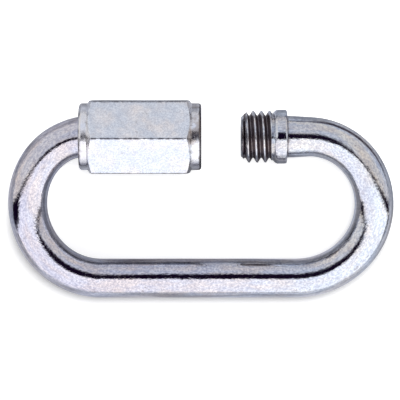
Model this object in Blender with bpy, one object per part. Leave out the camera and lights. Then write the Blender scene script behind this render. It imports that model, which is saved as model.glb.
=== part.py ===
"""Chain quick link: a bent steel rod whose gap is bridged by a screwed sleeve nut, lying open on a flat surface.

Two solids. link_body is one rod bent into an oval loop, with both of its facing ends threaded and
a collar behind the right-hand thread. sleeve_nut is a long hexagon nut with a turned neck at each
end. Lengths are in metres. Inside the link, X runs along the arms, Y from the bar to the arms, and
X = 0 is the mouth of the open nut.
"""

import math

import bmesh
import bpy
import numpy as np
from mathutils import Matrix

# Rod and thread
ROD_D = 0.0060
THREAD_D = 0.0080
THREAD_PITCH = 0.00125
CREST_FLAT = 1 / 8  # share of the pitch, as in a metric thread
THREAD_DEPTH = 17 / 24 * math.sqrt(3) / 2  # share of the pitch: 17/24 of the full V
CREST_AT = 0.00052  # where a crest crosses the outer side of the arm, from the nut's mouth

# Sleeve nut
NUT_LENGTH = 0.0187
NUT_AF = 0.0110  # across flats
NECK_LENGTH = 0.00130  # turned neck at the closed end
MOUTH_NECK_LENGTH = 0.00155  # turned neck at the mouth
NECK_CUT = 0.00038  # how far the necks lie under the flats
NECK_ROUND = 0.0005
CHAMFER_ANGLE = math.radians(30)  # of the hexagon's corners, from the end face
COUNTERSINK = 0.00035
THREAD_PLAY = 0.00008  # radial, between the thread's crests and the bore
NUT_TURN = math.radians(4.5)  # of the upper corner, past straight up

# How the nut opens and closes
MOUTH_GAP = 0.00605  # from the open nut to the right-hand stud
TURNS_TO_CLOSE = 9
SEAT_GAP = 0.00046  # from the closed nut to the collar's full diameter
STUD_INSET = 0.00035  # the left-hand stud ends this far inside the open nut
NUT_OVERHANG = 0.00126  # how far the open nut reaches over the start of the bend

# Stud ends
TIP_CHAMFER = 0.0011  # length along the axis
TIP_STEP = 0.0002  # how far the tip's flat end lies under the thread's root
FADE = 0.0011  # over which the left-hand thread runs out
RUN_OUT = 0.0008  # plain rod between the left-hand thread and the bend
COLLAR_RISE = 0.00018  # above the thread's crests
COLLAR_LENGTH = 0.00135
COLLAR_RAMP = 0.00085
COLLAR_ROUND = 0.00018
UPSET_D = 0.0064  # thickened rod behind the collar
UPSET_TAPER = 0.0045
UPSET_RUN = 0.00331  # straight arm between the collar and the bend

# Bows: how far each quarter reaches along the link, and how far the crown lies under the arm
ARM_SPACING = 0.0220
LEFT_ARM_REACH = 0.00927
LEFT_BAR_REACH = 0.01128
LEFT_CROWN_DROP = 0.01035
RIGHT_ARM_REACH = 0.01017
RIGHT_BAR_REACH = 0.0120
RIGHT_CROWN_DROP = 0.01053

# Fineness of the surfaces
ROUND_SIDES = 24
TURNED_SIDES = 48
QUARTER_STEPS = 10
ARC_STEPS = 3

NEAR = 0.00004  # points this close to a ring fall on it

# Cutters and outlines pass their work by these lengths
CLEAR = 0.0003
PAST = 0.0010

rod_r = ROD_D / 2
crest_r = THREAD_D / 2
root_r = crest_r - THREAD_DEPTH * THREAD_PITCH
core_r = root_r - TIP_STEP
upset_r = UPSET_D / 2
collar_r = crest_r + COLLAR_RISE
bore_r = crest_r + THREAD_PLAY
flat_r = NUT_AF / 2
corner_r = flat_r / math.cos(math.pi / 6)
neck_r = flat_r - NECK_CUT
mouth_r = bore_r + COUNTERSINK

travel = TURNS_TO_CLOSE * THREAD_PITCH
left_tip = -STUD_INSET
stud_tip = MOUTH_GAP
collar_from = travel + SEAT_GAP
collar_to = collar_from + COLLAR_LENGTH
ramp_from = collar_from - COLLAR_RAMP
right_bend = collar_to + UPSET_RUN
left_bend = NUT_OVERHANG - NUT_LENGTH
left_thread_to = left_bend + RUN_OUT
left_crown = left_bend - LEFT_ARM_REACH
right_crown = right_bend + RIGHT_ARM_REACH

# At rest the bar and the nut's lower corner touch the ground, which tilts the loop.
nut_axis_height = corner_r * math.cos(NUT_TURN)
tilt = math.asin((nut_axis_height - rod_r) / ARM_SPACING)
middle_x = (left_crown + right_crown) / 2
far_side = ARM_SPACING * math.cos(tilt) + corner_r * math.cos(math.pi / 6 - NUT_TURN)
bar_y = (rod_r - far_side) / 2

# Corners of the rod's section, from the loop's inner side. They are turned back by the tilt, so
# that one row of them is the bar's lowest line.
section_angles = 2 * math.pi * np.arange(ROUND_SIDES) / ROUND_SIDES - tilt


def plated_steel(name, colour, roughness):
    """Zinc-plated steel of the given tint."""
    material = bpy.data.materials.new(name)
    material.use_nodes = True
    surface = material.node_tree.nodes["Principled BSDF"]
    surface.inputs["Base Color"].default_value = (*colour, 1)
    surface.inputs["Roughness"].default_value = roughness
    surface.inputs["Metallic"].default_value = 1
    material.diffuse_color = (*colour, 1)
    return material


def solid(name, shape, material=None):
    """Put a closed bmesh into the scene as an object, smooth where it is round."""
    bmesh.ops.recalc_face_normals(shape, faces=shape.faces)
    mesh = bpy.data.meshes.new(name)
    shape.to_mesh(mesh)
    shape.free()
    mesh.shade_smooth()
    mesh.set_sharp_from_angle(angle=math.radians(35))
    if material:
        mesh.materials.append(material)
    thing = bpy.data.objects.new(name, mesh)
    bpy.context.scene.collection.objects.link(thing)
    return thing


def helper(thing):
    """Mark an object as a cutter or a blank that is not a piece of its own."""
    thing.hide_render = True
    thing.display_type = "WIRE"
    return thing


def combine(thing, other, operation):
    """Add an exact Boolean of two objects."""
    modifier = thing.modifiers.new(f"{operation.title()} {other.name}", "BOOLEAN")
    modifier.operation = operation
    modifier.solver = "EXACT"
    modifier.object = other


def turned(name, profile):
    """Revolve a profile of (x, radius) points round the X axis; it starts and ends on the axis."""
    shape = bmesh.new()
    corners = [shape.verts.new((x, radius, 0)) for x, radius in profile]
    edges = [shape.edges.new(pair) for pair in zip(corners, corners[1:])]
    bmesh.ops.spin(
        shape,
        geom=corners + edges,
        axis=(1, 0, 0),
        cent=(0, 0, 0),
        angle=2 * math.pi,
        steps=TURNED_SIDES,
        use_merge=True,
    )
    bmesh.ops.remove_doubles(shape, verts=shape.verts, dist=1e-6)
    return solid(name, shape)


def rounded_corner(x, radius, size, inwards):
    """Arc of (x, radius) points that rounds an outer corner, from its end face at x on to its side."""
    return [
        (x + inwards * size * (1 - math.cos(turn)), radius - size * (1 - math.sin(turn)))
        for turn in np.linspace(0, math.pi / 2, ARC_STEPS + 1)
    ]


def ring(shape, point, direction, radius):
    """Round section of the rod at a point of its middle line, which lies in the loop's plane."""
    (x, y), (along_x, along_y) = point, np.array(direction) / np.hypot(*direction)
    return [
        shape.verts.new((x - along_y * a, y + along_x * a, up))
        for a, up in zip(radius * np.cos(section_angles), radius * np.sin(section_angles))
    ]


def add_face(shape, corners):
    """Add a face, leaving out corners that fell together."""
    distinct = list(dict.fromkeys(corners))
    if len(distinct) > 2:
        shape.faces.new(distinct)


def bridge(shape, first, second):
    """Close the stretch between two rings with plain faces."""
    for k in range(ROUND_SIDES):
        n = (k + 1) % ROUND_SIDES
        shape.faces.new((first[k], first[n], second[n], second[k]))


def thread_turn():
    """One pitch of the thread as (share of the pitch, radius): crest flat, flank, root flat."""
    root_flat = 1 - CREST_FLAT - 2 * THREAD_DEPTH * math.tan(math.pi / 6)
    flank = (1 - CREST_FLAT - root_flat) / 2
    return [
        (-CREST_FLAT / 2, crest_r),
        (CREST_FLAT / 2, crest_r),
        (CREST_FLAT / 2 + flank, root_r),
        (CREST_FLAT / 2 + flank + root_flat, root_r),
    ]


def thread_skin(shape, low_ring, high_ring, floor, outline):
    """Fill the straight arm between two rings with a helical thread.

    Each column of the skin repeats one pitch of the thread's profile, a share of a pitch further
    on than its neighbour, so the last column meets the first one a whole turn along. Points that
    pass a ring fall on it. The thread stays under the outline and over the floor, which are
    (x, radius) lines.
    """
    low, high = low_ring[0].co.x, high_ring[0].co.x
    turns = range(math.floor(low / THREAD_PITCH) - 3, math.ceil(high / THREAD_PITCH) + 3)
    profile = thread_turn()
    columns = []
    for k, angle in enumerate(section_angles):
        column = []
        for turn in turns:
            for share, radius in profile:
                # The thread is right-handed, and a crest crosses the arm's outer side at CREST_AT.
                turned_by = (math.pi - angle) / (2 * math.pi)
                x = CREST_AT + THREAD_PITCH * (turn + share + turned_by)
                if x < low + NEAR:
                    column.append(low_ring[k])
                elif x > high - NEAR:
                    column.append(high_ring[k])
                else:
                    r = max(min(radius, np.interp(x, *outline)), np.interp(x, *floor))
                    place = (x, ARM_SPACING - r * math.cos(angle), r * math.sin(angle))
                    column.append(shape.verts.new(place))
        columns.append(column)
    turn_rows = len(profile)
    columns.append([low_ring[0]] * turn_rows + columns[0][:-turn_rows])
    for column, following in zip(columns, columns[1:]):
        for row in range(len(column) - 1):
            add_face(
                shape, (column[row], column[row + 1], following[row + 1], following[row])
            )


def arm_quarter(side, bend, reach, drop):
    """Quarter ellipse from the arm to the crown: its points and its directions."""
    turns = np.linspace(0, math.pi / 2, QUARTER_STEPS + 1)
    points = np.stack(
        [bend + side * reach * np.sin(turns), ARM_SPACING - drop * (1 - np.cos(turns))], 1
    )
    directions = np.stack([side * reach * np.cos(turns), -drop * np.sin(turns)], 1)
    return points, directions


def bar_quarter(side, crown, reach, drop):
    """Quarter ellipse from the crown to the bar: its points and its directions."""
    foot = ARM_SPACING - drop
    turns = np.linspace(0, math.pi / 2, QUARTER_STEPS + 1)[1:]
    points = np.stack(
        [crown - side * reach * (1 - np.cos(turns)), foot * (1 - np.sin(turns))], 1
    )
    directions = np.stack([-side * reach * np.sin(turns), -foot * np.cos(turns)], 1)
    return points, directions


def bow(side, bend, arm_reach, bar_reach, drop, taper_from):
    """Stations round one bow from the arm to the bar, with the upset fading along them."""
    crown = bend + side * arm_reach
    upper, upper_way = arm_quarter(side, bend, arm_reach, drop)
    lower, lower_way = bar_quarter(side, crown, bar_reach, drop)
    points = np.concatenate([upper, lower])
    ways = np.concatenate([upper_way, lower_way])
    steps = np.hypot(*np.diff(points, axis=0).T)
    run = abs(bend - taper_from) + np.concatenate([[0], np.cumsum(steps)])
    radii = np.interp(run, [0, UPSET_TAPER], [upset_r, rod_r])
    return list(zip(points, ways, radii))


def arm_rings(shape, profile):
    """Rings on a straight arm from (x, radius) points, in the order of travel round the loop."""
    return [ring(shape, (x, ARM_SPACING), (-1, 0), radius) for x, radius in profile]


def make_link_body(material):
    """One skin from the left-hand stud's tip, round the loop, to the right-hand stud's tip."""
    shape = bmesh.new()
    left_end = arm_rings(shape, [(left_tip, core_r)])
    left_root = arm_rings(shape, [(left_thread_to, upset_r)])
    collar = arm_rings(
        shape,
        [
            (collar_to, upset_r),
            (collar_to, collar_r - COLLAR_ROUND),
            (collar_to - COLLAR_ROUND, collar_r),
            (collar_from, collar_r),
        ],
    )
    right_end = arm_rings(shape, [(stud_tip, core_r)])
    left_bow = bow(
        -1, left_bend, LEFT_ARM_REACH, LEFT_BAR_REACH, LEFT_CROWN_DROP, left_thread_to
    )
    right_bow = bow(
        1, right_bend, RIGHT_ARM_REACH, RIGHT_BAR_REACH, RIGHT_CROWN_DROP, collar_to
    )
    returning = [(point, -way, radius) for point, way, radius in reversed(right_bow)]
    loop = [ring(shape, *station) for station in left_bow + returning]
    plain = left_root + loop + collar
    for first, second in zip(plain, plain[1:]):
        bridge(shape, first, second)
    shape.faces.new(left_end[0])
    shape.faces.new(right_end[0])
    thread_skin(
        shape,
        left_root[0],
        left_end[0],
        floor=([left_thread_to, left_thread_to + FADE], [upset_r, core_r]),
        outline=(
            [left_thread_to, left_thread_to + FADE, left_tip - TIP_CHAMFER, left_tip],
            [upset_r, crest_r, crest_r, core_r],
        ),
    )
    thread_skin(
        shape,
        right_end[0],
        collar[-1],
        floor=([ramp_from, collar_from], [core_r, collar_r]),
        outline=(
            [stud_tip, stud_tip + TIP_CHAMFER, ramp_from, collar_from],
            [core_r, crest_r, crest_r, core_r],
        ),
    )
    return solid("link_body", shape, material)


def nut_outline():
    """Turned outline of the nut: necks with rounded ends, and cones that chamfer the hexagon."""
    size = min(NECK_ROUND, (neck_r - mouth_r) * 0.7)
    over_r = corner_r + CLEAR
    cone = (over_r - neck_r) * math.tan(CHAMFER_ANGLE)
    left, right = -NUT_LENGTH, 0
    closed_end = [(left, 0)] + rounded_corner(left, neck_r, size, 1)
    mouth_end = rounded_corner(right, neck_r, size, -1)[::-1] + [(right, 0)]
    hexagon = [
        (left + NECK_LENGTH, neck_r),
        (left + NECK_LENGTH + cone, over_r),
        (right - MOUTH_NECK_LENGTH - cone, over_r),
        (right - MOUTH_NECK_LENGTH, neck_r),
    ]
    return closed_end + hexagon + mouth_end


def make_sleeve_nut(material):
    """Hexagon bar turned down at both ends and bored through."""
    shape = bmesh.new()
    bmesh.ops.create_cone(
        shape,
        cap_ends=True,
        segments=6,
        radius1=corner_r,
        radius2=corner_r,
        depth=NUT_LENGTH + 2 * PAST,
    )
    # The bar is made along Z. It is laid along X, with a corner straight up.
    laid = Matrix.Rotation(math.pi / 2, 3, "Y") @ Matrix.Rotation(math.pi / 6, 3, "Z")
    bmesh.ops.rotate(shape, verts=shape.verts, cent=(0, 0, 0), matrix=laid)
    bmesh.ops.translate(shape, verts=shape.verts, vec=(-NUT_LENGTH / 2, 0, 0))
    nut = solid("sleeve_nut", shape, material)
    outline = helper(turned("nut_outline", nut_outline()))
    # A faceted bore is narrowest at the middle of its flats, so its corners stand further out.
    flats = 1 / math.cos(math.pi / TURNED_SIDES)
    left, right = -NUT_LENGTH, 0
    bore = helper(
        turned(
            "nut_bore",
            [
                (left - PAST, 0),
                (left - PAST, (mouth_r + PAST) * flats),
                (left + COUNTERSINK, bore_r * flats),
                (right - COUNTERSINK, bore_r * flats),
                (right + PAST, (mouth_r + PAST) * flats),
                (right + PAST, 0),
            ],
        )
    )
    for cutter in (outline, bore):
        cutter.parent = nut
    combine(nut, outline, "INTERSECT")
    combine(nut, bore, "DIFFERENCE")
    return nut


def clear_scene():
    """Remove whatever the scene holds."""
    for thing in list(bpy.data.objects):
        bpy.data.objects.remove(thing)


def main():
    clear_scene()
    loop = bpy.data.objects.new("link_plane", None)
    bpy.context.scene.collection.objects.link(loop)
    loop.location = (-middle_x, bar_y, rod_r)
    loop.rotation_euler.x = tilt
    body = make_link_body(plated_steel("zinc_plated_rod", (0.74, 0.75, 0.79), 0.24))
    nut = make_sleeve_nut(plated_steel("zinc_plated_nut", (0.76, 0.77, 0.81), 0.28))
    for piece in (body, nut):
        piece.parent = loop
    # The nut's origin is on the axis that it slides along.
    nut.location.y = ARM_SPACING
    nut.rotation_euler.x = NUT_TURN - tilt


main()
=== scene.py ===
# %% [markdown]
# A chain quick link is one steel rod bent into an oval, with a gap in one long side. A long hexagon
# nut rides on the thread at one side of the gap and screws across it to close the link. The packed
# CAD model gives both pieces their place and their plain shape. This lesson dresses them: it builds
# finer surfaces over the same sizes, plates them with zinc, and sets up the studio.

import math

import bmesh
import bpy
import numpy as np
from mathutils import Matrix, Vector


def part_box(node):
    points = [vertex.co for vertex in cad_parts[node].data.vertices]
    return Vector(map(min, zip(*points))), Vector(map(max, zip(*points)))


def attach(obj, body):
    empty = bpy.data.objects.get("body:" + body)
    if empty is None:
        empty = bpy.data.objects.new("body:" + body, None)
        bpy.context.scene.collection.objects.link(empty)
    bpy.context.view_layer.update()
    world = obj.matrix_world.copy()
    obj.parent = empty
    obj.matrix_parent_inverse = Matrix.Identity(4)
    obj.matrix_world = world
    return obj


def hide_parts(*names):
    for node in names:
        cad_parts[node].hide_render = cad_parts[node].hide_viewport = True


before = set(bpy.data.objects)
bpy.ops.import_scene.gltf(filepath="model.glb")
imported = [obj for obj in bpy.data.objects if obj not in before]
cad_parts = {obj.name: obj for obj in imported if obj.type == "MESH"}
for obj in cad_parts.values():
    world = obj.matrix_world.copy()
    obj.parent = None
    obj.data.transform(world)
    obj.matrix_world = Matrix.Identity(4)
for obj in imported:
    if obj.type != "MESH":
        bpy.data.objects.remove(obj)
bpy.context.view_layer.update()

# %% [markdown]
# Every size is in metres. The fine surfaces repeat the sizes of the solids, so that each of them
# lies on the solid that it stands for. X = 0 of the link's own coordinates is the mouth of the open
# nut, X runs along the two arms, and Y runs from the bar to the arms.

# %% Sizes of the rod, its thread and the bows
ROD_R = 0.0030
UPSET_R = 0.0032  # thickened rod next to the threads
CREST_R = 0.0040
PITCH = 0.00125
THREAD_DEPTH = 17 / 24 * math.sqrt(3) / 2 * PITCH
CREST_HALF = PITCH / 12  # half the flat on top of a crest
CREST_AT = 0.00043  # where a crest crosses the outer side of the arm
CORE_R = CREST_R - THREAD_DEPTH - 0.0002  # flat end of a stud
LEFT_TIP, STUD_TIP = -0.00035, 0.00605
TIP_CHAMFER = 0.0011
LEFT_THREAD_TO, FADE = -0.01664, 0.0011
COLLAR_R = CREST_R + 0.00013
COLLAR_FROM, COLLAR_TO = 0.01155, 0.01306
RAMP_X, RAMP_R = [0.01010, 0.01098, 0.01126, COLLAR_FROM], [CORE_R, 0.00368, 0.00398, COLLAR_R]
RUN_OUT = 0.01062  # past this the last crest sinks into the ramp
COLLAR_ROUND = 0.00028
UPSET_TAPER = 0.0045
LEFT_BEND, RIGHT_BEND = -0.01744, 0.01637
ARM_SPACING = 0.0220
LEFT_BOW = dict(side=-1, bend=LEFT_BEND, arm=0.00927, bar=0.01128, drop=0.01035)
RIGHT_BOW = dict(side=1, bend=RIGHT_BEND, arm=0.01017, bar=0.0120, drop=0.01053)

# %% [markdown]
# The link lies as a real one does: the bar and one corner of the nut touch the table, so the loop
# is tilted a little. The boxes of the two CAD nodes give the place, and the height of the nut's
# axis gives the tilt. One function then carries any surface from the link's own coordinates there.

# %% Find where the link lies
NUT_LENGTH, NUT_FLAT_R = 0.0187, 0.0055
NUT_CORNER_R = NUT_FLAT_R / math.cos(math.pi / 6)
NUT_TURN = math.radians(4.5)  # of the upper corner, past straight up
link_low, link_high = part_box("link_body")
nut_low, nut_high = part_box("sleeve_nut")
tilt = math.asin((NUT_CORNER_R * math.cos(NUT_TURN) - ROD_R) / ARM_SPACING)
corner = np.array([nut_high.x, link_low.y + ROD_R, ROD_R])


def lay_down(points):
    """Turn points of the link's own coordinates about X by the tilt, then move them into place."""
    c, s = math.cos(tilt), math.sin(tilt)
    turned = points @ np.array([[1, 0, 0], [0, c, s], [0, -s, c]])
    return turned + corner


print(f"the loop is tilted by {math.degrees(tilt):.2f} degrees")

# %% [markdown]
# Both pieces are skins over a grid of two parameters: one runs along the piece and the other round
# it. A modeller could add a Screw modifier for the thread, but then the run-outs and the collar
# would need Booleans. A grid needs none: its radius is a formula of the place. Stretches of the
# skin meet in shared rings, and merging the doubled points closes the seams and the poles.

# %% Put grids together into one closed mesh
MERGE_WITHIN = 2e-7  # points this close are one point


def grid_faces(rows, columns, shift=0):
    """Quads of a grid that is closed round; its last column meets the first one shift rows on."""
    i, j = np.meshgrid(np.arange(rows - 1), np.arange(columns), indexing="ij")
    k = (j + 1) % columns
    step = np.where(k == 0, shift, 0)
    corners = np.stack([i * columns + j, (i + 1) * columns + j,
                        (i + 1 - step) * columns + k, (i - step) * columns + k], -1)
    whole = (i - step >= 0) & (i + 1 - step < rows)
    return corners[whole]


def skin(name, stretches, attributes, body, node):
    """Join grids of points, each (points, shift), merge what coincides and face it outwards."""
    points, faces, start = [], [], 0
    for grid, shift in stretches:
        rows, columns = grid.shape[:2]
        points.append(grid.reshape(-1, 3))
        faces.append(grid_faces(rows, columns, shift) + start)
        start += rows * columns
    mesh = bpy.data.meshes.new(name)
    mesh.from_pydata(np.concatenate(points), [], np.concatenate(faces).tolist())
    for title, values in attributes.items():
        joined = np.concatenate([v.reshape(-1, v.shape[2]) if v.ndim == 3 else v.ravel()
                                 for v in values]).astype(np.float32)
        kind, field = ("FLOAT_VECTOR", "vector") if joined.ndim == 2 else ("FLOAT", "value")
        mesh.attributes.new(title, kind, "POINT").data.foreach_set(field, joined.ravel())
    shape = bmesh.new()
    shape.from_mesh(mesh)
    bmesh.ops.remove_doubles(shape, verts=shape.verts, dist=MERGE_WITHIN)
    bmesh.ops.recalc_face_normals(shape, faces=shape.faces)
    open_edges = sum(len(edge.link_faces) != 2 for edge in shape.edges)
    shape.to_mesh(mesh)
    shape.free()
    mesh.shade_smooth()
    piece = bpy.data.objects.new(name, mesh)
    bpy.context.scene.collection.objects.link(piece)
    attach(piece, body)
    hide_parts(node)
    triangles = sum(len(face.vertices) - 2 for face in mesh.polygons)
    print(f"{name}: {triangles} triangles, {open_edges} open edges")
    return piece


# %% [markdown]
# A formula with a hard corner would give a razor edge, and real steel has none. Soft versions of
# the smaller, the larger and the clamp leave a small round wherever two surfaces meet.

# %% Soft corners
def soft_min(a, b, width):
    """The smaller of a and b; where they differ by less than width, a parabola rounds it."""
    mix = np.clip(0.5 + 0.5 * (b - a) / width, 0, 1)
    return b * (1 - mix) + a * mix - width * mix * (1 - mix)


def soft_max(a, b, width):
    """The larger of a and b, rounded in the same way."""
    return -soft_min(-a, -b, width)


CORNER_SOFT = 0.00005  # over which soft corners blend


def soft_clamp(h, width=0.13):
    """h kept between 0 and 1: the mean of t and the root of t squared plus width squared, twice."""
    low = (h + np.sqrt(h * h + width * width)) / 2
    high = (h - 1 + np.sqrt((h - 1) ** 2 + width * width)) / 2
    return low - high


# %% [markdown]
# The thread is the quick link's working surface: metric, right-handed, 8 mm by 1.25 mm. It is
# rolled before the rod is bent, so its crests are a little rounded. In each column of the grid one
# pitch of the profile is repeated, and each column starts a bit further along than its neighbour.
# After a full turn the last column is one pitch ahead, so it meets the first one a turn of rows on.

# %% The thread as a formula
AROUND = 120
around = np.arange(AROUND) / AROUND * 2 * math.pi  # from the loop's inner side, up and over
FLANK = THREAD_DEPTH * math.tan(math.pi / 6)
half_turn = np.array([0, 36, 64, 90, 122, 168, 240, 330, 385, 421, 450, 476]) / 1000
turn_rows = np.concatenate([half_turn, [0.5], 1 - half_turn[:0:-1]])  # shares of a turn, in order


def thread_radius(x, angle, crest=CREST_R):
    """Crest radius less a depth that grows in a straight line with the way along X to a crest."""
    turns = (x - CREST_AT) / PITCH - (math.pi - angle) / (2 * math.pi)
    distance = np.abs(turns - np.round(turns)) * PITCH
    height = 1 - (distance - CREST_HALF) / FLANK
    return crest - THREAD_DEPTH * (1 - soft_clamp(height))


def thread_rows(low, high, angles, rows):
    """X of each grid point: a crest's place plus the pitch times the row's and angle's shares."""
    turns = np.arange(math.floor(low / PITCH) - 3, math.ceil(high / PITCH) + 3)
    shares = (turns[:, None] + rows[None, :]).ravel()
    lead = (math.pi - angles) / (2 * math.pi)
    x = CREST_AT + PITCH * (shares[:, None] + lead[None, :])
    near = PITCH / 60  # rows this close to an end fall on it
    return np.where(x < low + near, low, np.where(x > high - near, high, x))


print(f"{len(turn_rows)} rows of the grid to each turn of the thread")

# %% [markdown]
# The plain rod is a profile carried along a path: two bows, each of two quarter ellipses, and
# the straight bar between them. The path is found as one dense line and then walked in even steps.
# No drawn rod is a perfect cylinder, so its radius has a very slight swell and ripple, which is
# what makes the reflections in bright plating waver.

# %% The path and the swept rod
STEP_ALONG = 0.0006


def quarter(start, across, down):
    """Quarter ellipse from start: across times the sine and down times one less the cosine."""
    t = np.linspace(0, math.pi / 2, 400)
    return np.array(start) + np.stack([across * np.sin(t), down * (1 - np.cos(t))], 1)


def bow(side, bend, arm, bar, drop):
    """From the arm round the crown to the bar, as two quarter ellipses that meet in the crown."""
    upper = quarter((bend, ARM_SPACING), side * arm, -drop)
    foot = ARM_SPACING - drop
    lower = quarter((bend + side * (arm - bar), 0), side * bar, foot)[::-1]
    return np.concatenate([upper, lower[1:]])


def even_steps(line, step):
    """The line walked in even steps: its points, its directions and the way run so far."""
    run = np.concatenate([[0], np.cumsum(np.hypot(*np.diff(line, axis=0).T))])
    at = np.linspace(0, run[-1], round(run[-1] / step) + 1)
    close = np.array([0.00003, 0.00018])  # extra rings, so that the shading of the ends stays there
    at = np.sort(np.concatenate([at, close, run[-1] - close]))
    points = np.stack([np.interp(at, run, line[:, 0]), np.interp(at, run, line[:, 1])], 1)
    ways = np.gradient(points, axis=0)
    ways[0] = ways[-1] = (-1, 0)  # both ends lie on an arm
    return points, ways / np.hypot(*ways.T)[:, None], at


line = np.concatenate([[(LEFT_THREAD_TO, ARM_SPACING)], bow(**LEFT_BOW),
                       bow(**RIGHT_BOW)[::-1], [(COLLAR_TO, ARM_SPACING)]])
path, way, run = even_steps(line, STEP_ALONG)
print(f"the rod runs {run[-1] * 1000:.1f} mm from thread to collar")

# %% [markdown]
# The rod grows a little thicker towards its threads, where it was upset. Each point also gets what
# the finish will ask for: where it lay on the straight rod, and how hollow it is, which counts here
# for the corners where the rod meets the collar and comes out of the nut.

# %% Radius of the swept rod
SWELL, RIPPLE = 0.0000045, 0.0000012


def swell(run, angle):
    """Sum of slow waves, SWELL high, and quicker ones, RIPPLE high, along the rod and round it."""
    mm = run * 1000
    slow = np.sin(mm / 3.1 + 0.7) * np.cos(angle - 0.4) + np.sin(mm / 1.7 + 2.0 * angle)
    quick = np.sin(mm / 0.83 + 3 * angle + 1.1) + np.sin(mm / 0.61 - 2 * angle)
    return SWELL * slow + RIPPLE * quick


to_end = np.minimum(run, run[-1] - run)
taper = np.clip(to_end / UPSET_TAPER, 0, 1)
upset = UPSET_R + (ROD_R - UPSET_R) * taper * taper * (3 - 2 * taper)
fade = np.clip(to_end / 0.001, 0, 1)  # no swell in the rings that other stretches share
radius = upset[:, None] + fade[:, None] * swell(run[:, None], around[None, :])
side = radius * np.cos(around)
rod = np.stack([path[:, :1] - way[:, 1:] * side, path[:, 1:] + way[:, :1] * side,
                radius * np.sin(around)], -1)
rod_run = np.broadcast_to(run[:, None] - LEFT_THREAD_TO, side.shape)
rod_unbent = np.stack([rod_run, side, radius * np.sin(around)], -1)
nut_at = NUT_LENGTH + LEFT_THREAD_TO  # run where the rod comes out of the open nut
# darker on the loop's inner side where the rod comes out of the nut, and in the corners at both
# ends
at_nut = 0.44 * np.exp(-((run[:, None] - nut_at) / 0.00030) ** 2) * np.clip(np.cos(around), 0, 1)
rod_hollow = np.maximum(0.45 * np.exp(-(to_end[:, None] / 0.00016) ** 2), at_nut)

# %% [markdown]
# A stud is the threaded end of the rod. Its end is chamfered so that the nut finds it, and the
# thread runs out smoothly at the other end. Two lines hold it: an outline that it stays under and
# a floor that it stays over. The attribute "hollow" says how deep each point lies in the thread.
# Near each tip it also carries a painted dark reflection, which goes over 1 on the upper side of
# the chamfer, where the finish paints it near black. The attribute "unbent" keeps the place that
# the point had on the straight rod, for marks that follow the rod.

# %% Threaded stretches
def arm_points(x, radius, angles):
    """Points at a radius from the arm's axis: X along it, the angle from the loop's inner side."""
    return np.stack([x, ARM_SPACING - radius * np.cos(angles), radius * np.sin(angles)], -1)


def on_arm(x, radius, hollow, ahead):
    """Points of the link body on an arm, how hollow each is, and its place on the unbent rod."""
    unbent = np.stack([ahead - x, radius * np.cos(around), radius * np.sin(around)], -1)
    return arm_points(x, radius, around), hollow, unbent


# FLANK_SHIFT moves the darkening in the thread off the left flank of each crest, so the right flank
# is the darker one.
FLANK_SHIFT = 0.00008  # how far the nut has rubbed the flanks clean on the left of each crest


def stud(low, high, tip, outline, floor, ahead):
    """One threaded stretch: the thread's radius, kept under the outline and over the floor."""
    x = thread_rows(low, high, around, turn_rows)
    top, bottom = np.interp(x, *outline), np.interp(x, *floor)
    radius = soft_min(thread_radius(x, around), top, CORNER_SOFT)
    radius = soft_max(radius, bottom, CORNER_SOFT)
    radius = np.where((x == low) | (x == high), top, radius)
    depth = np.clip((CREST_R - thread_radius(x + FLANK_SHIFT, around)) / THREAD_DEPTH, 0, 1)
    hollow = depth * np.clip((top - radius) / 0.00006, 0, 1) * (radius > bottom)
    from_tip = np.abs(x - tip)
    # painted dark reflection near each tip: a band, and near black on the chamfer's upper side
    hollow = np.maximum(hollow, 0.5 * np.exp(-((from_tip - 0.0005) / 0.00016) ** 2))
    painted_tip_reflection = 1.8 * np.exp(-((from_tip - 0.00043) / 0.00019) ** 4)
    hollow = np.maximum(hollow, painted_tip_reflection * np.clip((np.sin(around) - 0.45) / 0.25, 0, 1))
    return on_arm(x, radius, hollow, ahead)


OVER_CREST = CREST_R + CORNER_SOFT
ahead_right = run[-1] - LEFT_THREAD_TO + COLLAR_TO
left_stud = stud(LEFT_THREAD_TO, LEFT_TIP, LEFT_TIP,
                 ([LEFT_THREAD_TO, LEFT_THREAD_TO + FADE, LEFT_TIP - TIP_CHAMFER, LEFT_TIP],
                  [UPSET_R, OVER_CREST, OVER_CREST, CORE_R]),
                 ([LEFT_THREAD_TO, LEFT_THREAD_TO + FADE], [UPSET_R, CORE_R]), 0)
right_stud = stud(STUD_TIP, COLLAR_FROM, STUD_TIP,
                  ([STUD_TIP, STUD_TIP + TIP_CHAMFER, RUN_OUT, RUN_OUT + 0.0002] + RAMP_X[1:],
                   [CORE_R, OVER_CREST, OVER_CREST, 0.00356] + RAMP_R[1:]),
                  (RAMP_X, RAMP_R), ahead_right)

# %% [markdown]
# Behind the right-hand thread stands a collar, rolled up from the rod itself. The closed nut stops
# at it. It is a short profile turned round the arm, with a rounded rim, and each stud ends in a
# flat face whose last ring shrinks to a point, which closes the pole.

# %% Collar and stud ends
def turned(profile, hollow=0.0):
    """Carry a profile of (x, radius) points round the arm's axis."""
    x, r = (np.tile(np.array(values)[:, None], AROUND) for values in zip(*profile))
    return on_arm(x, r, np.full(x.shape, hollow), ahead_right)


rim = np.linspace(0, math.pi / 2, 7)
rim_x = COLLAR_TO - COLLAR_ROUND * (1 - np.cos(rim))
rim_r = COLLAR_R - COLLAR_ROUND * (1 - np.sin(rim))
# the collar's back face counts as hollow, so the finish darkens it
collar_back = turned([(COLLAR_TO, r) for r in np.linspace(UPSET_R, rim_r[0], 8)], hollow=0.45)
collar = turned(list(zip(rim_x, rim_r))
                + [(x, COLLAR_R) for x in np.linspace(rim_x[-1], COLLAR_FROM, 12)[1:]])
ends = [turned([(x, CORE_R * share) for share in (1, .96, .8, .5, .2, 0)])
        for x in (LEFT_TIP, STUD_TIP)]

# %% [markdown]
# The stretches are joined in the order of their rings. Only the two threaded ones are sheared, by
# as many rows as one turn takes.

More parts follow.
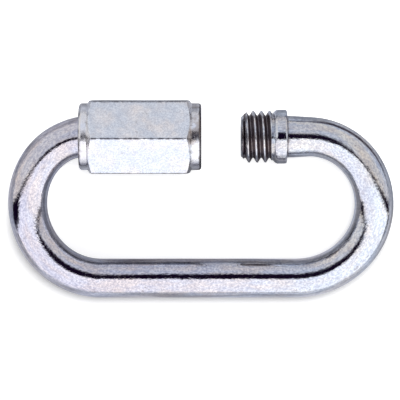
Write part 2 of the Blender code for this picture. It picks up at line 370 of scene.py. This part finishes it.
# %% Join the link body
TURN = len(turn_rows)  # rows that one turn of the thread takes
link_parts = [(left_stud, TURN), ((rod, rod_hollow, rod_unbent), 0), (collar_back, 0), (collar, 0),
              (right_stud, TURN)] + [(end, 0) for end in ends]
link = skin("link_rod", [(lay_down(part[0]), shift) for part, shift in link_parts],
            {"hollow": [part[1] for part, _ in link_parts],
             "unbent": [part[2] for part, _ in link_parts]},
            "link", "link_body")

# %% [markdown]
# The sleeve nut starts as hexagon bar. Both ends are turned down to a round neck, and the turning
# tool leaves a cone that cuts each flat in a curved arch. In the formula this needs no cutting: at
# each place the radius is the smaller of the hexagon's and the turned outline's. The columns of the
# grid stand closer together near the corners, where the surface turns fastest.

# %% The nut's two outlines
CORNER_ROUND = 0.00036
NECK_R, NECK_ROUND = NUT_FLAT_R - 0.00038, 0.00048
CLOSED_NECK, MOUTH_NECK = 0.00130, 0.00155
MOUTH_R = 0.00443
CONE_SLOPE = 1 / math.tan(math.pi / 6)  # the turning tool's cone stands 30 degrees off the end
FLAT_COLUMNS = 36
share = np.arange(FLAT_COLUMNS) / FLAT_COLUMNS
share = share - 0.85 * np.sin(2 * math.pi * share) / (2 * math.pi)
sixths = ((np.arange(6)[:, None] + share[None, :]).ravel() - 0.5) * math.pi / 3
nut_around = math.pi + tilt - NUT_TURN + sixths  # from the loop's inner side, as on the arms


def hexagon_radius(sixths):
    """Hexagon with round corners: the flat's distance over the cosine, or an arc near a corner."""
    off = (sixths + math.pi / 6) % (math.pi / 3) - math.pi / 6
    past = math.pi / 6 - np.abs(off)
    centre = (NUT_FLAT_R - CORNER_ROUND) / math.cos(math.pi / 6)
    reach = np.maximum(CORNER_ROUND ** 2 - (centre * np.sin(past)) ** 2, 0)
    arc_from = math.atan((NUT_FLAT_R - CORNER_ROUND) * math.tan(math.pi / 6) / NUT_FLAT_R)
    arc = centre * np.cos(past) + np.sqrt(reach)
    return np.where(np.abs(off) > arc_from, arc, NUT_FLAT_R / np.cos(off))


def turned_radius(x):
    """Turned outline: neck, then a cone that opens towards the middle, from both ends."""
    from_left = x + NUT_LENGTH - CLOSED_NECK
    from_right = -x - MOUTH_NECK
    cone = NECK_R + CONE_SLOPE * np.minimum(from_left, from_right)
    return soft_max(cone, NECK_R, 0.00012)


print(f"{2000 * hexagon_radius(math.pi / 6):.2f} mm across the nut's rounded corners")

# %% [markdown]
# Inside, the nut has the thread of the studs, opened by the play between them and in step with
# them, both where the nut stands open and nine turns further on. The skin runs out of the bore,
# over an end, along the outside, over the other end and back into the bore, so it closes on itself.

# %% Skin of the nut
THREAD_PLAY = 0.00008
CONE_END = NUT_CORNER_R - NECK_R + 0.00005  # cone rows go on until the corner is passed
DENT = 0.0000035
GROOVE_DARKENING = 0.12  # how hollow the grooves beside the cones count
MOUTH_DARKENING, CLOSED_DARKENING = 0.95, 0.25  # how hollow the rims of the two ends count


def end_rows(end, inwards):
    """Rows (x, radius) over one end of the nut: its flat face, then the neck's rounded edge."""
    t = np.linspace(0, math.pi / 2, 11)
    face = np.linspace(MOUTH_R, NECK_R - NECK_ROUND, 6)[:-1]
    x = np.concatenate([np.full(5, end), end + inwards * NECK_ROUND * (1 - np.cos(t))])
    return x, np.concatenate([face, NECK_R - NECK_ROUND * (1 - np.sin(t))])


def side_rows():
    """X of the rows along the nut's side: close together where the cones cut the hexagon."""
    left, right = CLOSED_NECK - NUT_LENGTH, -MOUTH_NECK
    cone = np.arange(-0.00010, CONE_END / CONE_SLOPE, 0.000022)
    neck_left = np.linspace(NECK_ROUND - NUT_LENGTH, left - 0.00012, 8)[1:]
    neck_right = np.linspace(right + 0.00012, -NECK_ROUND, 8)[:-1]
    middle = np.linspace(left + cone[-1] + 0.0001, right - cone[-1] - 0.0001, 40)
    return np.concatenate([neck_left, left + cone, middle, (right - cone)[::-1], neck_right])


def dents(x, sixths):
    """Sum of two slow waves along and across the flats, each DENT high."""
    mm = x * 1000
    return DENT * (np.sin(mm / 2.3 + 3 * np.sin(sixths)) + np.sin(mm / 1.1 + 5 * sixths))


left_x, left_r = end_rows(-NUT_LENGTH, 1)
right_x, right_r = end_rows(0, -1)
side_x = side_rows()
outside_x = np.concatenate([left_x, side_x, right_x[::-1]])
outside_r = np.concatenate([left_r, turned_radius(side_x), right_r[::-1]])
on_side = np.isin(outside_x, side_x)[:, None]
hexagon = hexagon_radius(sixths)[None, :] + on_side * dents(outside_x[:, None], sixths)
outside = soft_min(outside_r[:, None], hexagon, 0.00007)
is_turned = (outside_r[:, None] < hexagon).astype(float)
cut = np.exp(-((hexagon - outside_r[:, None]) / 0.00010) ** 2) * on_side
to_corner = math.pi / 6 - np.abs((sixths + math.pi / 6) % (math.pi / 3) - math.pi / 6)
edge = (outside > NUT_FLAT_R - 0.0001) * np.exp(-(to_corner / 0.024) ** 2) * (1 - cut)
groove = np.minimum(np.abs(outside_x + NUT_LENGTH - CLOSED_NECK), np.abs(outside_x + MOUTH_NECK))
# painted dark reflections and shade: the cones' cut edges, the grooves beside them and the end rims
darkening = GROOVE_DARKENING * np.maximum(np.exp(-(groove / 0.00022) ** 2)[:, None] * on_side, cut)
to_end = np.minimum(outside_x + NUT_LENGTH, -outside_x)
rim_darkening = np.where(outside_x > -NUT_LENGTH / 2, MOUTH_DARKENING, CLOSED_DARKENING)
darkening = np.maximum(darkening, (rim_darkening * np.exp(-(to_end / 0.00031) ** 2))[:, None])
outside_x = np.tile(outside_x[:, None], len(nut_around))

bore_x = thread_rows(-NUT_LENGTH, 0, nut_around, turn_rows[::2])
countersink = MOUTH_R - np.minimum(bore_x + NUT_LENGTH, -bore_x)
bore = thread_radius(bore_x, nut_around, CREST_R + THREAD_PLAY)
bore = soft_max(bore, countersink, CORNER_SOFT)
bore = np.where((bore_x == 0) | (bore_x == -NUT_LENGTH), MOUTH_R, bore)

# The bore counts as fully hollow, so the finish darkens all of it.
nut = skin("sleeve_nut_skin",
           [(lay_down(arm_points(outside_x, outside, nut_around)), 0),
            (lay_down(arm_points(bore_x, bore, nut_around)), len(turn_rows[::2]))],
           {"edge": [edge, np.zeros(bore_x.shape)], "turned": [is_turned, np.ones(bore_x.shape)],
            "hollow": [darkening, np.ones(bore_x.shape)]},
           "nut", "sleeve_nut")

# %% [markdown]
# Bright zinc plating is metal, so both materials are metallic and their colour is nearly that of
# what they reflect. What tells plated steel from chrome is the fine unevenness: a cloudy bloom, a
# tight grain that frays the edges of each reflection, and small pits. One shader node group makes
# these from any coordinates, and each finish uses it at its own scale. The helpers below build such
# groups and the materials.

# %% Node helpers
def add_node(tree, kind, **values):
    """Add a node; a value whose name starts with in_ goes to the input of that number or name."""
    node = tree.nodes.new(kind)
    for name, value in values.items():
        if name.startswith("in_"):
            key = name[3:]
            socket = node.inputs[int(key) if key.isdigit() else key.replace("_", " ")]
            if isinstance(value, bpy.types.NodeSocket):
                tree.links.new(value, socket)
            else:
                socket.default_value = value
        else:
            setattr(node, name, value)
    return node


def calc(tree, operation, *values):
    """A Math node's result; values are numbers or sockets."""
    inputs = {f"in_{k}": value for k, value in enumerate(values)}
    return add_node(tree, "ShaderNodeMath", operation=operation, **inputs).outputs[0]


def ease_between(tree, value, low, high, to_low=0.0, to_high=1.0):
    """Map a value smoothly from low and high to two new ends."""
    node = add_node(tree, "ShaderNodeMapRange", interpolation_type="SMOOTHSTEP", in_Value=value)
    for name, number in (("From Min", low), ("From Max", high), ("To Min", to_low),
                         ("To Max", to_high)):
        node.inputs[name].default_value = number
    return node.outputs["Result"]


def blend_colours(tree, share, first, second, way="MIX"):
    """Mix or multiply two colours by a share; each may be a socket or plain numbers."""
    node = tree.nodes.new("ShaderNodeMix")
    node.data_type = "RGBA"
    node.blend_type = way
    if isinstance(share, bpy.types.NodeSocket):
        tree.links.new(share, node.inputs[0])
    else:
        node.inputs[0].default_value = share
    for socket, value in ((node.inputs[6], first), (node.inputs[7], second)):
        if isinstance(value, bpy.types.NodeSocket):
            tree.links.new(value, socket)
        else:
            socket.default_value = (*value, 1)
    return node.outputs[2]


def multiply_tint(tree, tone, share, first, second):
    """The colour times a tint that a share mixes from two."""
    return blend_colours(tree, 1.0, tone, blend_colours(tree, share, first, second), "MULTIPLY")


def noise(tree, vector, scale, detail=3.0, roughness=0.55):
    """Value of a Noise Texture."""
    return add_node(tree, "ShaderNodeTexNoise", in_Vector=vector, in_Scale=scale, in_Detail=detail,
                    in_Roughness=roughness).outputs[0]


def stretched(tree, vector, *scale):
    """Coordinates times a scale along each axis: under 1, a pattern is drawn out that way."""
    return add_node(tree, "ShaderNodeMapping", in_Vector=vector, in_Scale=scale).outputs[0]


def far_off(tree, vector, shift, scale):
    """Length of the coordinates, scaled and then shifted: a distance in an ellipse's own units."""
    moved = add_node(tree, "ShaderNodeMapping", in_Vector=vector, in_Location=shift,
                     in_Scale=scale).outputs[0]
    return add_node(tree, "ShaderNodeVectorMath", operation="LENGTH", in_0=moved).outputs["Value"]


def new_group(name, inputs, outputs):
    """A node group with named sockets; gives its tree, its input node and its output node."""
    tree = bpy.data.node_groups.new(name, "ShaderNodeTree")
    for title, kind, value in inputs:
        socket = tree.interface.new_socket(title, in_out="INPUT", socket_type=kind)
        if value is not None:
            socket.default_value = value
    for title, kind in outputs:
        tree.interface.new_socket(title, in_out="OUTPUT", socket_type=kind)
    return tree, tree.nodes.new("NodeGroupInput"), tree.nodes.new("NodeGroupOutput")


def use_group(tree, group, **values):
    """Place a node group in a material with its own values."""
    node = tree.nodes.new("ShaderNodeGroup")
    node.node_tree = group
    for name, value in values.items():
        socket = node.inputs[name.replace("_", " ")]
        if isinstance(value, bpy.types.NodeSocket):
            tree.links.new(value, socket)
        else:
            socket.default_value = value
    return node


# %% [markdown]
# The plating group gives four values: the slow bloom, the grain for the bump, the pits, which come
# in swarms, and a fine speckle for the colour.

# %% Plating: bloom, grain and pits
VALUE, VECTOR = "NodeSocketFloat", "NodeSocketVector"
plating, given, result = new_group(
    "zinc_plating",
    [("Place", VECTOR, None), ("Bloom Size", VALUE, 400.0), ("Grain Size", VALUE, 2200.0),
     ("Pits", VALUE, 0.3)],
    [("Bloom", VALUE), ("Grain", VALUE), ("Pits", VALUE), ("Speckle", VALUE)])
place = given.outputs["Place"]
cloud = noise(plating, place, given.outputs["Bloom Size"], detail=5.0, roughness=0.68)
plating.links.new(ease_between(plating, cloud, 0.32, 0.68), result.inputs["Bloom"])
grain = noise(plating, place, given.outputs["Grain Size"], detail=4.0, roughness=0.6)
spots = noise(plating, place, calc(plating, "MULTIPLY", given.outputs["Grain Size"], 0.8), 1.0)
where = noise(plating, place, calc(plating, "MULTIPLY", given.outputs["Bloom Size"], 0.5), 2.0)
bound = calc(plating, "SUBTRACT", 0.80, calc(plating, "MULTIPLY", given.outputs["Pits"], 0.2))
pit = calc(plating, "GREATER_THAN", calc(plating, "ADD", spots, calc(
    plating, "MULTIPLY", calc(plating, "SUBTRACT", where, 0.5), 0.35)), bound)
plating.links.new(pit, result.inputs["Pits"])
plating.links.new(calc(plating, "SUBTRACT", grain, calc(plating, "MULTIPLY", pit, 0.6)),
                  result.inputs["Grain"])
fine = noise(plating, place, calc(plating, "MULTIPLY", given.outputs["Grain Size"], 1.6),
             roughness=0.75)
plating.links.new(ease_between(plating, fine, 0.34, 0.66), result.inputs["Speckle"])
print("group", plating.name, "has", len(plating.nodes), "nodes")

# %% [markdown]
# Oil and soiling gather in the bottom of a thread. The same mask also darkens the corners where
# the rod meets the collar and comes out of the nut, and it paints dark reflections and shade: a
# band by each stud's tip, and on the nut the grooves beside the cones, the cones' cut edges and
# the rims of the two ends. The mask grows with the "hollow" attribute and breaks up with noise,
# so that it has no clean edge.

# %% Grime and painted shade in the hollows
grime_and_shade, given, result = new_group(
    "grime_in_hollows", [("Place", VECTOR, None), ("Hollow", VALUE, 0.0), ("Amount", VALUE, 1.0)],
    [("Mask", VALUE)])
smear = noise(grime_and_shade, given.outputs["Place"], 900.0, detail=4.0, roughness=0.65)
depth = calc(grime_and_shade, "ADD", given.outputs["Hollow"], calc(
    grime_and_shade, "MULTIPLY", calc(grime_and_shade, "SUBTRACT", smear, 0.5), 0.7))
worn = ease_between(grime_and_shade, given.outputs["Hollow"], 0.90, 1.0, 1.0, 0.55)
mask = calc(grime_and_shade, "MULTIPLY", ease_between(grime_and_shade, depth, 0.06, 0.34), given.outputs["Amount"])
mask = calc(grime_and_shade, "MULTIPLY", mask, worn)
grime_and_shade.links.new(mask, result.inputs["Mask"])

# %% [markdown]
# The rod's plating is smooth enough to mirror the studio. Its marks follow the bend, so they read
# "unbent" and not Object coordinates: drawing the wire left faint lines along it, which still run
# along the rod in the bows. The tint drifts a little from one bow to the other.

# %% Finish of the rod
def new_finish(name):
    """A material with nodes: its tree, its Principled BSDF and an Attribute reader."""
    finish = bpy.data.materials.new(name)
    finish.use_nodes = True
    tree = finish.node_tree
    surface = tree.nodes["Principled BSDF"]
    surface.inputs["Metallic"].default_value = 1.0

    def read(attribute, output):
        """An attribute of the mesh, as the named output of a reader."""
        return add_node(tree, "ShaderNodeAttribute", attribute_name=attribute).outputs[output]

    return finish, tree, surface, read


rod_finish, tree, surface, read = new_finish("bright_zinc_rod")
place = read("unbent", "Vector")
zinc = use_group(tree, plating, Place=stretched(tree, place, 0.7, 1, 1), Bloom_Size=420.0,
                 Grain_Size=2100.0, Pits=0.25)
lines = noise(tree, stretched(tree, place, 0.06, 1, 1), 2600.0)
dirt_and_shade = use_group(tree, grime_and_shade, Place=place, Hollow=read("hollow", "Fac"), Amount=0.92)
tone = blend_colours(tree, zinc.outputs["Bloom"], (0.754, 0.754, 0.805), (0.863, 0.854, 0.879))
along_rod = add_node(tree, "ShaderNodeSeparateXYZ", in_Vector=place).outputs["X"]
tone = multiply_tint(tree, tone, ease_between(tree, along_rod, 0.055, 0.100),
                     (0.917, 0.902, 0.926), (0.97, 1.0, 0.99))
tone = multiply_tint(tree, tone, zinc.outputs["Speckle"], (0.65, 0.66, 0.735), (1.0, 1.0, 1.0))
streak = noise(tree, stretched(tree, place, 0.30, 1, 1), 520.0, detail=4.0, roughness=0.6)
tone = multiply_tint(tree, tone, ease_between(tree, streak, 0.38, 0.66),
                     (0.92, 0.965, 1.0), (1.0, 0.95, 0.88))
fleck = noise(tree, stretched(tree, place, 0.40, 1, 1), 1500.0, roughness=0.65)
fleck = ease_between(tree, fleck, 0.56, 0.70, 0.0, 0.6)
tone = blend_colours(tree, fleck, tone, (0.43, 0.43, 0.505))
tone = blend_colours(tree, calc(tree, "MULTIPLY", zinc.outputs["Pits"], 0.6), tone,
                     (0.28, 0.26, 0.31))
# the mask: soiling in the thread, darker corners, and a painted dark reflection by each tip
tone = blend_colours(tree, dirt_and_shade.outputs["Mask"], tone, (0.107, 0.075, 0.080))
# painted dark reflection, near black, on the upper side of each stud's chamfer
painted_tip_reflection_share = ease_between(tree, read("hollow", "Fac"), 1.05, 1.45)
tone = blend_colours(tree, painted_tip_reflection_share, tone, (0.012, 0.006, 0.012))
tree.links.new(tone, surface.inputs["Base Color"])
rough = calc(tree, "ADD", ease_between(tree, zinc.outputs["Bloom"], 0, 1, 0.10, 0.05),
             calc(tree, "MULTIPLY", dirt_and_shade.outputs["Mask"], 0.30))
tree.links.new(rough, surface.inputs["Roughness"])
height = calc(tree, "ADD", zinc.outputs["Grain"], calc(tree, "MULTIPLY", lines, 0.35))
bump = add_node(tree, "ShaderNodeBump", in_Strength=1.0, in_Distance=0.000026, in_Height=height)
tree.links.new(bump.outputs[0], surface.inputs["Normal"])
link.data.materials.append(rod_finish)

# %% [markdown]
# The nut is drawn bar, and its flats keep a frosted grain under the zinc, mottled in blue and in
# straw yellow. The turned necks keep fine rings from the tool. A frayed dark line along the long
# corners is a painted reflection of the tent's dark gap. Beside the cones and on the rims of the
# two ends the zinc is darkened with painted dark reflections and shade, and brownish stains spread
# over the neck at the mouth. The flats count as a little less metallic than the necks, since their
# frosted grain scatters some light.

# %% Finish of the nut
nut_finish, tree, surface, read = new_finish("bright_zinc_nut")
place = add_node(tree, "ShaderNodeTexCoord").outputs["Object"]
zinc = use_group(tree, plating, Place=place, Bloom_Size=700.0, Grain_Size=2300.0, Pits=0.15)
edge, turned_part = read("edge", "Fac"), read("turned", "Fac")
tree.links.new(ease_between(tree, turned_part, 0, 1, 0.90, 1.0), surface.inputs["Metallic"])
patch = noise(tree, place, 210.0, detail=4.0, roughness=0.6)
tone = blend_colours(tree, ease_between(tree, patch, 0.45, 0.70), (0.87, 0.93, 1.0),
                     (1.0, 0.97, 0.95))
tone = multiply_tint(tree, tone, zinc.outputs["Bloom"], (0.86, 0.865, 0.88), (0.98, 0.98, 0.98))
tone = multiply_tint(tree, tone, zinc.outputs["Speckle"], (0.745, 0.75, 0.785), (1.0, 1.0, 1.0))
tone = blend_colours(tree, calc(tree, "MULTIPLY", turned_part, 0.6), tone,
                     (0.935, 0.935, 0.953))
rings = noise(tree, stretched(tree, place, 1, 0.04, 0.04), 2600.0, roughness=0.6)
rings = ease_between(tree, rings, 0.35, 0.60, 0.30, 0.0)
tone = blend_colours(tree, calc(tree, "MULTIPLY", rings, turned_part), tone, (0.485, 0.475, 0.505))
tone = blend_colours(tree, calc(tree, "MULTIPLY", zinc.outputs["Pits"], 0.5), tone,
                     (0.39, 0.375, 0.40))
frayed = noise(tree, place, 1500.0)
# painted reflection: a frayed dark line along the long corners
painted_corner_reflection = calc(tree, "MULTIPLY", edge, ease_between(tree, frayed, 0.38, 0.60, 0.0, 0.94))
tone = blend_colours(tree, painted_corner_reflection, tone, (0.06, 0.045, 0.065))
far_along = add_node(tree, "ShaderNodeSeparateXYZ", in_Vector=place).outputs["X"]
stain = ease_between(tree, noise(tree, place, 420.0), 0.46, 0.60, 0.0, 0.6)
stain = calc(tree, "MULTIPLY", stain, ease_between(tree, far_along, -0.005, -0.001))
tone = blend_colours(tree, calc(tree, "MULTIPLY", stain, turned_part), tone, (0.375, 0.31, 0.27))
# painted dark reflections and shade beside the cones and on the end rims; the bore is darkened all
# over
dirt_and_shade = use_group(tree, grime_and_shade, Place=place, Hollow=read("hollow", "Fac"), Amount=0.85)
tone = blend_colours(tree, dirt_and_shade.outputs["Mask"], tone, (0.045, 0.032, 0.036))
tree.links.new(tone, surface.inputs["Base Color"])
rough = ease_between(tree, zinc.outputs["Bloom"], 0, 1, 0.28, 0.18)
rough = calc(tree, "SUBTRACT", rough, calc(tree, "MULTIPLY", edge, 0.10))
tree.links.new(rough, surface.inputs["Roughness"])
bump = add_node(tree, "ShaderNodeBump", in_Strength=1.0, in_Distance=0.000020,
                in_Height=zinc.outputs["Grain"])
tree.links.new(bump.outputs[0], surface.inputs["Normal"])
nut.data.materials.append(nut_finish)

# %% [markdown]
# The table is white to the camera, and a little light of its own there keeps only the close, dark
# part of the shadow. Reflections see other colours, painted light and shade: white out towards
# the lit side, greyer on the other, a painted shadow inside the loop and behind the nut, a painted
# dark patch out to the right, and dark where the tent's gap meets it. That gives the rod the rims
# and the thin dark lines that bright metal on paper shows. One Light Path node chooses between
# the two.

# %% The table
TABLE_HALF = 1.2
WASH = 0.14, 0.62  # light that the table adds for the camera: by the bar and by the arms
mesh = bpy.data.meshes.new("table")
mesh.from_pydata([(x * TABLE_HALF, y * TABLE_HALF, 0) for x, y in
                  ((-1, -1), (1, -1), (1, 1), (-1, 1))], [], [(0, 1, 2, 3)])
table = bpy.data.objects.new("table", mesh)
bpy.context.scene.collection.objects.link(table)
paper = bpy.data.materials.new("white_paper")
paper.use_nodes = True
tree = paper.node_tree
tree.nodes.remove(tree.nodes["Principled BSDF"])
spot = add_node(tree, "ShaderNodeTexCoord").outputs["Object"]
x, y, z = add_node(tree, "ShaderNodeSeparateXYZ", in_Vector=spot).outputs
mirrored = blend_colours(tree, ease_between(tree, y, -0.035, 0.0), (0.706, 0.728, 0.792),
                         (0.48, 0.49, 0.545))
mirrored = blend_colours(tree, ease_between(tree, y, -0.085, -0.045), (1.0, 1.0, 1.0), mirrored)
# painted shadow, seen only in reflections: darker inside the loop and behind the nut
loop = far_off(tree, spot, (0.0, 0.2, 0.0), (1 / 0.0165, 1 / 0.0078, 0))
behind = calc(tree, "MULTIPLY", ease_between(tree, y, 0.012, 0.020), ease_between(
    tree, calc(tree, "ABSOLUTE", calc(tree, "ADD", x, 0.009)), 0.006, 0.011, 1.0, 0.0))
shade = calc(tree, "MAXIMUM", ease_between(tree, loop, 0.85, 1.15, 1.0, 0.0), behind)
mirrored = blend_colours(tree, calc(tree, "MULTIPLY", shade, 0.5), mirrored, (0.03, 0.025, 0.035))
# painted dark patch out to the right, seen only in reflections
far = calc(tree, "ADD", calc(tree, "MULTIPLY", x, 0.55), calc(tree, "MULTIPLY", y, 0.85))
right_of = calc(tree, "MULTIPLY", ease_between(tree, x, 0.014, 0.030),
                ease_between(tree, x, 0.055, 0.075, 1.0, 0.0))
far = calc(tree, "MULTIPLY", ease_between(tree, far, 0.032, 0.040), right_of)
mirrored = blend_colours(tree, far, mirrored, (0.07, 0.06, 0.08))
mottle = ease_between(tree, noise(tree, spot, 70.0, 2.0), 0.36, 0.62, 0.70, 1.30)
mirrored = blend_colours(tree, 1.0, mirrored, mottle, "MULTIPLY")
from_gap = calc(tree, "ABSOLUTE", calc(tree, "ADD", y, 0.021))
gap = calc(tree, "MULTIPLY", ease_between(tree, from_gap, 0.009, 0.013, 1.0, 0.0),
           ease_between(tree, calc(tree, "ABSOLUTE", x), 0.050, 0.065))
mirrored = blend_colours(tree, gap, mirrored, (0.02, 0.015, 0.03))
seen = add_node(tree, "ShaderNodeLightPath").outputs["Is Camera Ray"]
colour = blend_colours(tree, seen, mirrored, (1.0, 1.0, 1.0))
matt = add_node(tree, "ShaderNodeBsdfDiffuse", in_Color=colour)
wash = ease_between(tree, y, -0.009, 0.004, *WASH)
wash = add_node(tree, "ShaderNodeEmission", in_Color=(1, 1, 1, 1),
                in_Strength=calc(tree, "MULTIPLY", seen, wash))
both = add_node(tree, "ShaderNodeAddShader", in_0=matt.outputs[0], in_1=wash.outputs[0])
tree.links.new(both.outputs[0], tree.nodes["Material Output"].inputs["Surface"])
table.data.materials.append(paper)

# %% [markdown]
# Bright metal is only as good as what it mirrors. The link lies close under a tent: the roof over
# the bar's side is lit white and the rest is a quieter grey, a bit warmer on the side walls. A dark
# gap parts them and opens on the left wall, and the lens looks in through a dark round hole. The
# tent is a real sheet with two folds, close by, since then each bow mirrors it from its own place.
# Only reflections see it.

# %% The roof and the sides of the tent
ROOF_HEIGHT, ROOF_HALF, TENT_LENGTH = 0.12, 0.105, 8.0
fold = [(-ROOF_HALF, 0), (-ROOF_HALF, ROOF_HEIGHT), (ROOF_HALF, ROOF_HEIGHT), (ROOF_HALF, 0)]
mesh = bpy.data.meshes.new("tent_roof")
mesh.from_pydata([(x, y * TENT_LENGTH, z) for x, z in fold for y in (-1, 1)], [],
                 [(0, 1, 3, 2), (2, 3, 5, 4), (4, 5, 7, 6)])
roof = bpy.data.objects.new("tent_roof", mesh)
bpy.context.scene.collection.objects.link(roof)
roof.visible_camera = roof.visible_diffuse = roof.visible_shadow = False
cloth = bpy.data.materials.new("tent_cloth")
cloth.use_nodes = True
tree = cloth.node_tree
tree.nodes.remove(tree.nodes["Principled BSDF"])
place = add_node(tree, "ShaderNodeTexCoord").outputs["Object"]
x, y, z = add_node(tree, "ShaderNodeSeparateXYZ", in_Vector=place).outputs
left = calc(tree, "MULTIPLY", x, -1.0)
wedge = calc(tree, "MULTIPLY", ease_between(tree, z, 0.090, 0.055),
             ease_between(tree, left, 0.0, 0.1))
white_to = calc(tree, "SUBTRACT", -0.021, calc(tree, "MULTIPLY", wedge, 0.017))  # in Y
past_white = calc(tree, "SUBTRACT", y, white_to)
narrower = calc(tree, "ADD", ease_between(tree, left, 0.035, 0.075, -0.010, 0.009),
                ease_between(tree, x, 0.030, 0.060, 0.0, 0.017))
past_gap = calc(tree, "ADD", y, narrower)  # the gap ends where this is 0
hole = ease_between(tree, far_off(tree, place, (-0.010, -0.010, -ROOF_HEIGHT), (1.0, 1.25, 1.0)),
                    0.034, 0.058, 1.0, 0.0)
bright = blend_colours(tree, ease_between(tree, x, -0.1, 0.1), (1.305, 1.263, 1.327),
                       (1.466, 1.466, 1.498))
quiet = blend_colours(tree, ease_between(tree, noise(tree, place, 9.0, 2.0), 0.4, 0.6),
                      (0.685, 0.712, 0.806), (0.765, 0.754, 0.790))
quiet = blend_colours(tree, 1.0, quiet, ease_between(tree, y, 0.05, 0.45, 1.04, 0.86), "MULTIPLY")
quiet = blend_colours(tree, ease_between(tree, left, 0.04, 0.09), quiet, (0.91, 0.87, 0.85))
warm = calc(tree, "MULTIPLY", ease_between(tree, x, 0.05, 0.09),
            ease_between(tree, z, 0.025, 0.045))
quiet = blend_colours(tree, warm, quiet, (0.86, 0.80, 0.76))
dark = (0.008, 0.003, 0.016)
past_dark = calc(tree, "MULTIPLY", ease_between(tree, past_gap, -0.003, 0.004),
                 calc(tree, "SUBTRACT", 1.0, hole))
colour = blend_colours(tree, past_dark, dark, quiet)
colour = blend_colours(tree, ease_between(tree, past_white, -0.002, 0.003), bright, colour)
light = add_node(tree, "ShaderNodeEmission", in_Color=colour, in_Strength=1.0)
tree.links.new(light.outputs[0], tree.nodes["Material Output"].inputs["Surface"])
roof.data.materials.append(cloth)

# %% [markdown]
# Beyond the roof there is only even light: white for the camera and quieter for everything else.

# %% The light round it
world = bpy.data.worlds.new("even_light")
world.use_nodes = True
bpy.context.scene.world = world
tree = world.node_tree
tree.nodes.clear()
paths = add_node(tree, "ShaderNodeLightPath")
AMBIENT = 0.45
sky = blend_colours(tree, paths.outputs["Is Camera Ray"], (AMBIENT,) * 3, (1.0, 1.0, 1.0))
background = add_node(tree, "ShaderNodeBackground", in_Color=sky, in_Strength=1.0)
output = add_node(tree, "ShaderNodeOutputWorld")
tree.links.new(background.outputs[0], output.inputs["Surface"])

# %% [markdown]
# A soft box overhead gives the table its light and the link its short, soft shadow. Its power is
# worked out from the level wanted: a lamp of P watts at height h gives a white table P over pi
# squared times h squared. Metal doesn't mirror it, since the roof already stands for every lamp.

# %% Soft box
def soft_box(name, place, size, level):
    """Square lamp aimed at the link, as bright as gives a white table the wanted level."""
    place = np.array(place)
    distance = float(np.linalg.norm(place))
    lamp = bpy.data.lights.new(name, "AREA")
    lamp.size = size
    lamp.energy = level * (math.pi * distance) ** 2 * (distance / place[2])
    box = bpy.data.objects.new(name, lamp)
    box.location = place
    direction = -place / distance
    box.rotation_euler = (math.acos(-direction[2]), 0, math.atan2(direction[0], -direction[1]))
    box.visible_glossy = False
    bpy.context.scene.collection.objects.link(box)
    return box


soft_box("soft_box", (0.05, 0.08, 0.46), 0.16, 0.62)

# %% [markdown]
# The photograph looks straight down from about 35 cm, which shows a strip of table 62 mm wide.

# %% Camera
CAMERA_HEIGHT = 0.350  # above the rod's middle
FIELD = 0.0618
camera = bpy.data.cameras.new("camera")
camera.sensor_width = 36
camera.lens = camera.sensor_width * CAMERA_HEIGHT / FIELD
camera.clip_start, camera.clip_end = 0.01, 10
eye = bpy.data.objects.new("camera", camera)
eye.location = (-0.00014, -0.00019, ROD_R + CAMERA_HEIGHT)
bpy.context.scene.collection.objects.link(eye)
bpy.context.scene.camera = eye
bpy.context.scene.view_settings.view_transform = "Standard"
